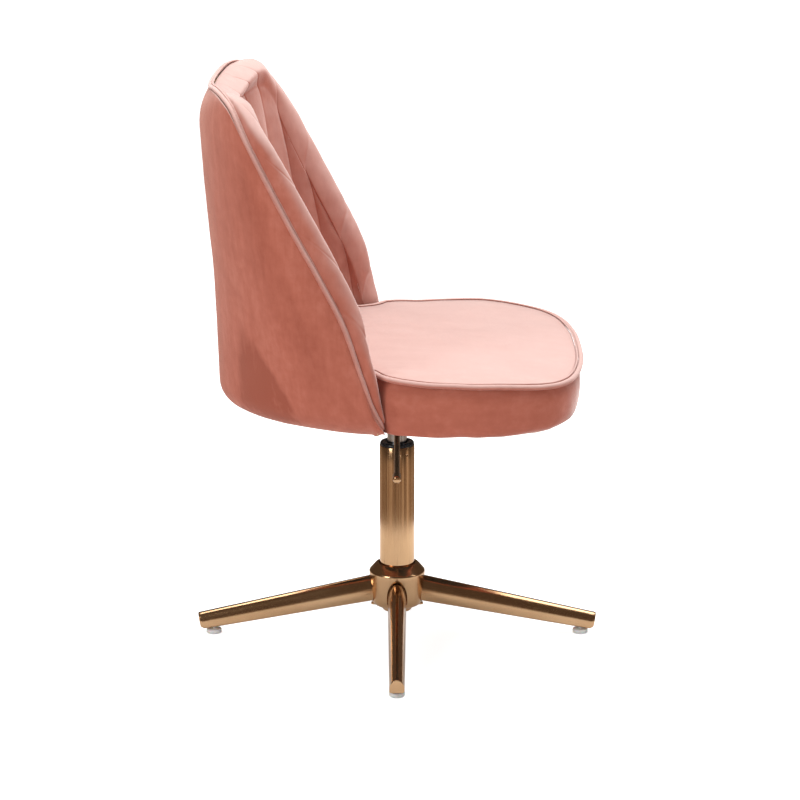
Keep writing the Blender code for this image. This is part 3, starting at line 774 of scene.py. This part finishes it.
def seat(finish):
    """The boxed cushion, from its stapled lower edge up to the piping and over the crowned top."""
    outline = seat_outline(320)
    rise = seat_swelling(seat_outline(120))
    # The boxing's section: how far inside the outline, and how far above the piping.
    boxing = (
        (0.0300, -0.0735),
        (0.0210, -0.0730),
        (0.0140, -0.0700),
        (0.0090, -0.0640),
        (0.0058, -0.0560),
        (0.0040, -0.0460),
        (0.0034, -0.0360),
        (0.0036, -0.0260),
        (0.0046, -0.0180),
        (0.0068, -0.0118),
        (0.0096, -0.0076),
        (0.0104, -0.0040),
        (0.0096, 0.0000),
        (0.0090, 0.0018),
    )
    rows = []
    for distance, lift in boxing:
        low = ease((-0.05 - lift) / 0.03)
        row = []
        for p, edge_point in zip(inset(outline, distance), outline):
            # Beside the wings the boxing is held out to its lower edge.
            beside_wing = ease((p.y + 0.09) / 0.06) * ease((0.10 - p.y) / 0.05)
            p = p.lerp(edge_point, 0.75 * low * beside_wing)
            corner = ease((abs(p.x) - 0.13) / 0.09) * ease((-0.14 - p.y) / 0.06)
            p = p * (1 - 0.025 * corner * low)
            # The stapled lower edge isn't quite straight.
            sag = 0.0022 * low * noise.noise(Vector((p.x * 14, p.y * 14, 3.1)))
            drop = 0.0015 * low * noise.noise(Vector((p.x * 34, p.y * 34, 8.2)))
            # The lower edge is level: only the piping follows the dip and the rise.
            edge = piping_height(p.y)
            edge += (PIPING_HEIGHT - 0.0006 - edge) * low
            row.append(Vector((p.x, p.y, edge + lift + sag + drop)))
        rows.append(row)
    base = inset(outline, 0.0090)
    middle = Vector((0.0, -0.045))
    shares = (0.988, 0.97, 0.945, 0.91, 0.86, 0.80, 0.73, 0.65, 0.56, 0.47, 0.38, 0.29, 0.20)
    for share in (*shares, 0.12, 0.05):
        row = []
        for p in base:
            spot = middle.lerp(p, share)
            edge = piping_height(p.y)
            level = edge + (piping_height(spot.y) - edge) * (1 - share)
            shoulder = 0.0022 + 0.0020 * ease((1 - share) / 0.09)
            row.append(Vector((spot.x, spot.y, level + shoulder + rise(spot.x, spot.y) * 0.72)))
        rows.append(row)
    cushion = grid("seat_cushion_velvet", rows, finish=finish, **UPHOLSTERY)
    ripple(cushion, 0.045, 0.0009)
    ripple(cushion, 0.016, 0.00035, lambda p: 1.0 if p.z < PIPING_HEIGHT - 0.009 else 0.4, 4.0)
    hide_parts("seat_cushion")
    return outline


def seat_welt(outline, finish):
    """The cord round the seat and the seam beside it."""
    path = [Vector((p.x, p.y, piping_height(p.y))) for p in inset(outline, 0.0030)]
    for point in path:
        point += Vector((0, 0, 0.0005 * noise.noise(point * 22)))
    cord = tube("seat_piping_cord", path, 0.0036, 14, True, finish=finish, **UPHOLSTERY)
    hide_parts("seat_piping")
    # The seam allowance beside the cord, where the top panel is sewn to it.
    line = [Vector((p.x, p.y, piping_height(p.y) + 0.0030)) for p in inset(outline, 0.0080)]
    tube("seat_piping_seam", line, 0.0012, 8, True, finish=finish, **UPHOLSTERY)


def cover(finish):
    """The tub's outer velvet: a thin skin from under the floor up to the rim."""
    rows = []
    count, steps = 150, 26
    cloth = 0.0024
    for i in range(count + 1):
        column = Column(i / count)
        top = column.height - 0.0008 / column.rise
        ring = []
        for depth, order in ((0.0, 1), (cloth, -1)):
            side = [column.curl(0, depth) + column.inward * 0.014]
            side += [column.curl(math.radians(a), depth) for a in (0, 12, 25, 38, 52, 66, 79)]
            for k in range(steps + 1):
                height = column.rounding + (top - column.rounding) * k / steps
                side.append(column.wall(height, depth))
            ring += side[::order]
        rows.append(ring)
    skin = grid("back_cover_velvet", rows, finish=finish, **UPHOLSTERY)
    subdivided(skin)
    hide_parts("back_cover")

    def below_crest(point):
        return ease((0.78 - point.z) / 0.05)

    ripple(skin, 0.10, 0.0011, below_crest)
    ripple(skin, 0.030, 0.0004, below_crest, 7.0)


# Seams of the channelled back on one side: how far from the middle, along the rim, each one
# meets the piping, crosses the front of the roll, and meets the seat.
SEAMS = (
    (0.022, 0.030, 0.060),
    (0.062, 0.085, 0.162),
    (0.105, 0.145, 0.217),
    (0.165, 0.225, 0.310),
    (0.245, 0.333, 0.407),
    (0.370, 0.462, 0.516),
    (0.500, 0.562, 0.602),
)
# The roll's section: shares of its reach past the rim, and of its depth from the cord inwards.
ROLL_SECTION = ((0.42, 0.04), (0.82, 0.19), (1.0, 0.45), (0.9, 0.72), (0.5, 0.93))
# Heights of the wall below it, as shares from the seat up.
WALL_STEPS = (1.0, 0.975, 0.94, 0.89, 0.82, 0.73, 0.62, 0.50, 0.38, 0.26, 0.13, 0.0)
# Where on the section, from 0 at the cord to 1 at the seat, the front of the roll is.
FRONT = 3.0 / (len(ROLL_SECTION) + len(WALL_STEPS))
# Points across one channel, closer together beside its seams.
STRIP = (0.0, 0.035, 0.09, 0.17, 0.27, 0.38, 0.50, 0.62, 0.73, 0.83, 0.91, 0.965)
ENDS = (0.684, 0.684, 0.684)
BACKING = (0.0, 0.25, 0.5, 0.75, 0.97)


def pad_controls(position):
    """The padding's section: from the piping over the roll and down the inner wall."""
    column = Column(position)
    low, top = column.pad_span()
    full = 0.45 + 0.55 * ease(min(position, 1 - position) / 0.085)
    thick = column.pad_depth(column.height) * full - 0.003
    reach = column.roll + 0.001
    # Where the roll hardly rises past the piping, its inner half falls away in a round shoulder.
    shoulder = 0.034 * (1 - min(1.0, max(0.0, reach) / 0.030)) * ease(2.5 * column.rear)
    points = [column.rim - column.past * 0.0060 + column.inward * 0.0018]
    for past, deep in ROLL_SECTION:
        fall = shoulder * (1 + 0.45 * (deep - 1) - 0.55 * math.sqrt(1 - deep * deep))
        inwards = column.inward * (0.0036 + (thick - 0.0036) * deep)
        points.append(column.rim + column.past * (reach * past - fall) + inwards)
    for share in WALL_STEPS:
        height = low + (top - 1.1 * shoulder - low) * share
        points.append(column.wall(height, column.pad_depth(height) * full - 0.003))
    return points


def strip_arc(across, down):
    """How far along the rim a place across the channels lies, at a fraction down the section."""
    knots = [tuple(-a for a in ENDS)] + [tuple(-a for a in row) for row in reversed(SEAMS)]
    knots += list(SEAMS) + [ENDS]
    span = min(int(across), len(knots) - 2)
    share = across - span
    piped, front, seat_end = [a + (b - a) * share for a, b in zip(knots[span], knots[span + 1])]
    if down < FRONT:
        return piped + (front - piped) * (down / FRONT) ** 0.8
    return front + (seat_end - front) * (1 - ((1 - down) / (1 - FRONT)) ** 3.2)


def pad(finish):
    """The channelled inner padding, puffed between its sewn seams, with its roll over the rim."""
    strips = 2 * len(SEAMS) + 1
    across = [s + u for s in range(strips) for u in STRIP] + [strips]
    rows_count = 58
    downs = []
    for k in range(rows_count + 1):
        share = k / rows_count
        downs.append(0.62 * share + 0.38 * share * share)
    rows = []
    for a in across:
        row = [along(pad_controls(position_at(strip_arc(a, down))), down) for down in downs]
        at_seat, at_rim = [position_at(strip_arc(a, down)) for down in (1.0, 0.0)]
        # The padding's back runs up again inside the cover.
        for share in BACKING:
            back = Column(at_seat + (at_rim - at_seat) * share)
            low, top = back.pad_span()
            row.append(back.wall(low + (top - low) * share, PAD_OUTER * 0.95))
        rows.append(row)
    body = grid("back_pad_velvet", rows, finish=finish, **UPHOLSTERY)
    body.data.update()
    ring = len(downs) + len(BACKING)
    normals = [v.normal.copy() for v in body.data.vertices]
    pinned = []
    for i, a in enumerate(across):
        u = a - int(a)
        edge = i in (0, len(across) - 1)
        seam = u < 1e-6 and not edge
        pinned += range(i * ring + len(downs), (i + 1) * ring)
        for k, down in enumerate(downs):
            index = i * ring + k
            if k < 2 or seam or edge:
                pinned.append(index)
            puff = 0.0004 * ease(down / FRONT) + 0.0014 * ease((down - FRONT * 0.7) / 0.25)
            amount = puff * (1 - abs(2 * u - 1) ** 2.6)
            if seam:
                amount = -0.0008 * ease((down - 0.5 * FRONT) / (0.5 * FRONT))
            elif min(u, 1 - u) < 0.04:
                amount += 0.0002
            body.data.vertices[index].co += normals[index] * amount
    body.data.update()
    inflate(body, pinned, 2.2, 14, 0.0013, 30.0)
    subdivided(body)
    ripple(body, 0.022, 0.0005, seed=2.0)
    ripple(body, 0.009, 0.00018, seed=9.0)
    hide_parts("back_pad")


def rim_path(offset, count=260):
    """The rim's line moved past the rim and inwards, its ends turned under the wings' feet."""
    path = []
    for i in range(count + 1):
        column = Column(0.007 + 0.986 * i / count)
        path.append(column.rim + column.past * offset[0] + column.inward * offset[1])

    def tail(end, side):
        turned_under = ((side * 0.0015, -0.0005, -0.0030), (side * 0.0060, -0.0004, -0.0050))
        return [end + Vector(p) for p in turned_under]

    return tail(path[0], 1)[::-1] + path + tail(path[-1], -1)


def back_welt(finish):
    """The cord round the back's rim and the seam beside it."""
    line = rim_path((0.0006, 0.0))
    cord = tube("back_piping_cord", line, 0.0032, 14, finish=finish, **UPHOLSTERY)
    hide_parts("back_piping")
    line = rim_path((0.0036, 0.0036))
    tube("back_piping_seam", line, 0.0014, 8, finish=finish, **UPHOLSTERY)


# ---------------------------------------------------------------- metalwork


# Half of the leg's arched section, from its sole up one side to its top.
ARCH = vectors(
    (0.80, 0.0),
    (1.0, 0.10),
    (1.0, 0.38),
    (0.93, 0.58),
    (0.76, 0.77),
    (0.48, 0.92),
    (0.16, 1.0),
)
# Reach of the leg's top and of its sole, their heights, and the width.
LEG_STATIONS = (
    (0.0292, 0.0292, 0.0892, 0.0530, 0.0262),
    (0.110, 0.110, 0.0709, 0.0386, 0.0243),
    (0.200, 0.198, 0.0504, 0.0227, 0.0224),
    (0.272, 0.268, 0.0340, 0.0102, 0.0209),
    (0.2835, 0.2790, 0.0314, 0.0084, 0.0206),
    (0.2882, 0.2842, 0.0303, 0.0108, 0.0203),
)
SOCKET_STATIONS = (
    (0.0285, 0.0285, 0.0892, 0.0530, 0.0262),
    (0.055, 0.055, 0.0834, 0.0484, 0.0256),
)


def side_turn(number):
    """The turn that brings a leg from +X to the front, right, rear or left."""
    return Matrix.Rotation(math.radians(-90 - 90 * number), 4, "Z")


def arch(width, low, high, grow, fine=3):
    half = width / 2 + grow
    low, high = low - grow, high + grow
    rise = high - low
    whole = ARCH + [Vector((-p.x, p.y)) for p in reversed(ARCH)]
    smooth = []
    for i in range(len(whole) - 1):
        for k in range(fine):
            smooth.append(along(whole, (i + k / fine) / (len(whole) - 1)))
    smooth.append(whole[-1])
    return [(half * p.x, low + rise * min(p.y, 1.0)) for p in smooth]


def leg_rings(stations, grow=0.0):
    rings = []
    for top_reach, low_reach, top, low, width in stations:
        ring = []
        for across, up in arch(width, low, top, grow):
            share = (up - low) / (top - low)
            ring.append(Vector((low_reach + (top_reach - low_reach) * share, across, up)))
        rings.append(ring)
    return rings


def legs(finish):
    """The four legs; it returns the cutters for their sockets in the hub."""
    cutters = []
    clearance = 0.0014
    for i, side in enumerate(SIDES):
        turn = side_turn(i)
        rings = [[turn @ p for p in ring] for ring in leg_rings(LEG_STATIONS)]
        leg = grid(f"leg_{side}_brass", rings, finish=finish, slot="brass", body="base")
        bevelled(leg, 0.0010, 3)
        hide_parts(f"leg_{side}")
        rings = [[turn @ p for p in ring] for ring in leg_rings(SOCKET_STATIONS, clearance)]
        cutters.append(grid(f"socket_{side}", rings))
    return cutters


def hub(finish, cutters):
    profile = (
        (0.0262, 0.1066),
        (0.0266, 0.1078),
        (0.0276, 0.1081),
        (0.0292, 0.1074),
        (0.0310, 0.1062),
        (0.0332, 0.1040),
        (0.0356, 0.1012),
        (0.0378, 0.0986),
        (0.0392, 0.0970),
        (0.0400, 0.0958),
        (0.0402, 0.0942),
        (0.0399, 0.0900),
        (0.0391, 0.0800),
        (0.0383, 0.0700),
        (0.0374, 0.0590),
        (0.0368, 0.0530),
        (0.0360, 0.0498),
        (0.0340, 0.0466),
        (0.0306, 0.0448),
        (0.0266, 0.0441),
        (0.0232, 0.0437),
        (0.0219, 0.0425),
        (0.0214, 0.0400),
        (0.0213, 0.0384),
        (0.0208, 0.0370),
        (0.0196, 0.0365),
        (0.0145, 0.0365),
        (0.0145, 0.0440),
        (0.0256, 0.0440),
        (0.0256, 0.1056),
    )
    where = {"finish": finish, "slot": "brass", "body": "base"}
    body = turned("base_hub_brass", profile, 160, True, **where)
    subtract(body, cutters)
    bevelled(body, 0.0005, 2)
    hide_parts("base_hub")


def column(finish, black, steel):
    """The column tube with its dimples, the bush in its mouth and the gas cylinder in the bush."""
    outer, inner = COLUMN_RADIUS, COLUMN_RADIUS - COLUMN_WALL
    profile = (
        (outer - 0.0007, COLUMN_TOP),
        (outer - 0.0002, COLUMN_TOP - 0.0003),
        (outer, COLUMN_TOP - 0.0008),
        (outer, 0.240),
        (outer, 0.180),
        (outer, 0.120),
        (outer, COLUMN_FOOT + 0.0008),
        (outer - 0.0008, COLUMN_FOOT),
        (inner, COLUMN_FOOT),
        (inner, COLUMN_TOP - 0.0004),
        (inner + 0.0004, COLUMN_TOP),
    )
    where = {"finish": finish, "slot": "brass", "body": "base"}
    tube_body = turned("column_tube_brass", profile, 160, True, **where)
    cutters = []
    for degrees in (9.0, 34.5, 189.0, 214.5):
        angle = math.radians(degrees)
        reach = outer + 0.0017
        centre = Vector((-math.cos(angle) * reach, -math.sin(angle) * reach, DIMPLE_HEIGHT))
        bm = bmesh.new()
        bmesh.ops.create_uvsphere(bm, u_segments=20, v_segments=12, radius=DIMPLE_RADIUS)
        bmesh.ops.translate(bm, vec=centre, verts=bm.verts)
        cutters.append(from_bmesh("dimple", bm))
    subtract(tube_body, cutters)
    smooth(tube_body, 30)
    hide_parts("column_tube")
    bush = (
        (0.0160, BUSH_TOP - 0.0012),
        (0.0163, BUSH_TOP - 0.0003),
        (0.0170, BUSH_TOP),
        (0.0222, BUSH_TOP),
        (0.0233, BUSH_TOP - 0.0004),
        (0.0240, BUSH_TOP - 0.0014),
        (0.0244, COLUMN_TOP + 0.0016),
        (0.0244, COLUMN_TOP + 0.0003),
        (inner - 0.0003, COLUMN_TOP + 0.0003),
        (inner - 0.0003, BUSH_FOOT),
        (0.0143, BUSH_FOOT),
        (0.0143, BUSH_TOP - 0.0030),
    )
    where = {"finish": black, "slot": "black_plastic", "body": "base"}
    collar = turned("guide_bush_black", bush, 96, True, **where)
    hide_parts("guide_bush")
    cylinder = (
        (0.0, CYLINDER_TOP),
        (0.0122, CYLINDER_TOP),
        (0.0132, CYLINDER_TOP - 0.0008),
        (0.0135, CYLINDER_TOP - 0.0020),
        (CYLINDER_RADIUS, CYLINDER_TOP - 0.0200),
        (CYLINDER_RADIUS, 0.250),
        (CYLINDER_RADIUS, CYLINDER_FOOT + 0.0015),
        (0.0125, CYLINDER_FOOT),
        (0.0, CYLINDER_FOOT),
    )
    where = {"finish": steel, "slot": "ground_steel", "body": "chair"}
    ram = turned("gas_cylinder_steel", cylinder, 96, **where)
    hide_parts("gas_cylinder")


def lever(finish):
    direction = Vector((-math.cos(LEVER_SLOPE), 0, -math.sin(LEVER_SLOPE)))
    inner, outer = LEVER_PIVOT - direction * LEVER_TAIL, LEVER_PIVOT + direction * LEVER_LENGTH
    path = [inner.lerp(outer, i / 24) for i in range(25)]
    where = {"finish": finish, "slot": "brass", "body": "lever"}
    bar = tube("lift_lever_brass", path, LEVER_RADIUS, 32, sharp=40, **where)
    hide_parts("lift_lever")
    tip = (
        (0.0, 0.0160),
        (0.0026, 0.0159),
        (0.0042, 0.0154),
        (0.0051, 0.0146),
        (0.0055, 0.0132),
        (0.0056, 0.0120),
        (0.0056, 0.0014),
        (0.0053, 0.0006),
        (0.0048, 0.0003),
        (0.0, 0.0003),
    )
    turn = direction.to_track_quat("Z", "Y").to_matrix().to_4x4()
    cap = turned("lever_cap_brass", tip, 48, place=outer, turn=turn, **where)
    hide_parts("lever_cap")


def glides(finish):
    foot = (
        (0.0, 0.0160),
        (0.0030, 0.0160),
        (0.0030, 0.0070),
        (0.0040, 0.0066),
        (0.0094, 0.0066),
        (0.0104, 0.0062),
        (0.0110, 0.0052),
        (0.0110, 0.0018),
        (0.0106, 0.0007),
        (0.0094, 0.0),
        (0.0, 0.0),
    )
    for i, side in enumerate(SIDES):
        place = side_turn(i) @ Vector((GLIDE_REACH, 0, 0))
        where = {"finish": finish, "slot": "milky_plastic", "body": "base"}
        glide = turned(f"foot_glide_{side}_milky", foot, 64, place=place, **where)
        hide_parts(f"foot_glide_{side}")


def dress_cad(finishes):
    """Materials for the nodes that stay as the CAD made them."""
    for sub in frame["record"]["subparts"]:
        obj = NODES[sub["node"]]
        # The heads of the legs' screws are plated like the hub round them.
        plated = sub["node"].startswith("leg_screw")
        finish = finishes["brass" if plated else sub["material_slot"]]
        if not obj.material_slots:
            obj.data.materials.append(finish)
        for material_slot in obj.material_slots:
            material_slot.material = finish


# ---------------------------------------------------------------- floor, light and camera


def floor():
    bm = bmesh.new()
    bmesh.ops.create_grid(bm, x_segments=1, y_segments=1, size=30)
    plane = from_bmesh("floor", bm)
    finish = Finish("pale_floor", roughness=0.85, specular_ior_level=0.1)
    # Painted reflection: reflection rays alone see the floor turn dark past the pale turntable, so
    # the metalwork mirrors a darker studio.
    rays = finish.add("LightPath").outputs
    axes = finish.axes()
    squares = [finish.sum("MULTIPLY", axes[k], axes[k]) for k in ("X", "Y")]
    reach = finish.sum("SQRT", finish.sum("ADD", *squares))
    painted_dark = finish.sum("MULTIPLY", rays["Is Glossy Ray"], finish.step(reach, 0.548, 0.572))
    # Painted reflection: the dark room seen only in reflections is uneven all round, which draws
    # upright bands on the column.
    around = finish.sum("ARCTAN2", axes["Y"], axes["X"])
    reflected_bands = {"W": around, "Scale": 1.9, "Detail": 3.0, "Roughness": 0.7}
    reflected_bands = finish.add("TexNoise", reflected_bands, noise_dimensions="1D").outputs[0]
    dim, half_lit, lit = (0.13, 0.088, 0.062), (0.24, 0.18, 0.135), (0.50, 0.41, 0.33)
    reflected_room = finish.ramp(reflected_bands, (0.34, dim), (0.52, half_lit), (0.66, lit))
    finish.colour(finish.mix(painted_dark, (0.86, 0.858, 0.855, 1), reflected_room))
    # A studio sweep is lit until it is plain white behind the object.
    glow = finish.sum("MULTIPLY", rays["Is Camera Ray"], 0.62)
    finish.set("Emission Color", (1.0, 1.0, 1.0))
    finish.links.new(glow, finish.shader.inputs["Emission Strength"])
    plane.data.materials.append(finish.material)


def area(name, place, target, size, power):
    data = bpy.data.lights.new(name, "AREA")
    data.shape = "RECTANGLE"
    data.size, data.size_y = size
    data.energy = power
    obj = bpy.data.objects.new(name, data)
    obj.location = place
    obj.rotation_euler = (Vector(target) - Vector(place)).to_track_quat("-Z", "Y").to_euler()
    bpy.context.scene.collection.objects.link(obj)


def light():
    world = bpy.data.worlds.new("studio")
    bpy.context.scene.world = world
    world.use_nodes = True
    nodes, links = world.node_tree.nodes, world.node_tree.links
    # White behind the object, even light on cloth, and a dark room where metal mirrors it.
    path = nodes.new("ShaderNodeLightPath")
    colour = (0.63, 0.63, 0.63, 1)
    mirrored_room, behind = (0.105, 0.078, 0.060, 1), (1.08, 1.08, 1.08, 1)
    for ray, other in (("Is Glossy Ray", mirrored_room), ("Is Camera Ray", behind)):
        mix = nodes.new("ShaderNodeMix")
        mix.data_type = "RGBA"
        links.new(path.outputs[ray], mix.inputs["Factor"])
        if isinstance(colour, tuple):
            mix.inputs[6].default_value = colour
        else:
            links.new(colour, mix.inputs[6])
        mix.inputs[7].default_value = other
        colour = mix.outputs[2]
    links.new(colour, nodes["Background"].inputs["Color"])
    area("top_box", (0.35, -0.15, 2.6), (0.0, 0.0, 0.4), (2.8, 2.4), 80)
    area("left_box", (-2.5, 2.3, 1.35), (0, 0.1, 0.45), (1.1, 1.7), 38)
    area("front_strip", (-0.6, -2.6, 1.5), (0, 0, 0.5), (0.5, 1.6), 5)


def camera():
    """A long lens at the sitter's right, four metres away and looking a little down."""
    look_down = math.radians(14.48)
    data = bpy.data.cameras.new("camera")
    data.sensor_width = 36
    data.lens = 130.77
    data.clip_end = 100
    obj = bpy.data.objects.new("camera", data)
    obj.location = (-4.0, -0.0042, 1.381)
    obj.rotation_euler = (math.radians(90) - look_down, 0, math.radians(-90))
    bpy.context.scene.collection.objects.link(obj)
    bpy.context.scene.camera = obj
    bpy.context.scene.view_settings.view_transform = "Standard"


# ---------------------------------------------------------------- the scene

# Each velvet gets its own painted highlight on up-facing faces (bloom), and the back cover its
# painted nap shade (0.31).
seat_velvet = velvet("velvet_seat", (14, 2.2, 14), sheen=1.0, soft=0.30, toplight_band=(0.50, 0.97))
deep_pink = (1.0, 0.74, 0.64)
wall_velvet = velvet("velvet_back_cover", (22, 22, 2.4), 0.31, sheen=0.32, tint=deep_pink)
pad_velvet = velvet("velvet_back_pad", (20, 20, 5), sheen=0.8, toplight_band=(-0.20, 0.80))
cord_velvet = velvet("velvet_piping", (12, 12, 12), toplight_band=(-0.7, 1.0))
upright_brass = brass("brass_column", (1, 1, 0.03), (0.10, 0.17))
turned_brass = brass("brass_hub", (0.05, 0.05, 1), (0.16, 0.26))
leg_brass = brass("brass_leg", (1, 1, 1), (0.14, 0.22))
finishes = {
    "velvet": seat_velvet,
    "brass": turned_brass,
    "ground_steel": metal("ground_steel", (0.66, 0.67, 0.70), 0.16, 0.26, 900, (1, 1, 0.05)),
    "zinc_steel": metal("zinc_steel", (0.56, 0.57, 0.58), 0.28, 0.45, 180),
    "black_steel": plain("black_steel", (0.014, 0.014, 0.015), 0.35, 0.55, 700, 0.0002),
    "black_plastic": plain("black_plastic", (0.010, 0.010, 0.012), 0.22, 0.38),
    "rubber": plain("black_rubber", (0.012, 0.012, 0.012), 0.7, 0.85, 300, 0.0002),
    "milky_plastic": milky("milky_plastic"),
    "plywood": plywood("plywood"),
    "dust_cloth": dust_cloth("dust_cloth"),
}
dress_cad(finishes)
floor()
light()
camera()
seat_welt(seat(seat_velvet), cord_velvet)
cover(wall_velvet)
pad(pad_velvet)
back_welt(cord_velvet)
hub(turned_brass, legs(leg_brass))
column(upright_brass, finishes["black_plastic"], finishes["ground_steel"])
lever(leg_brass)
glides(finishes["milky_plastic"])
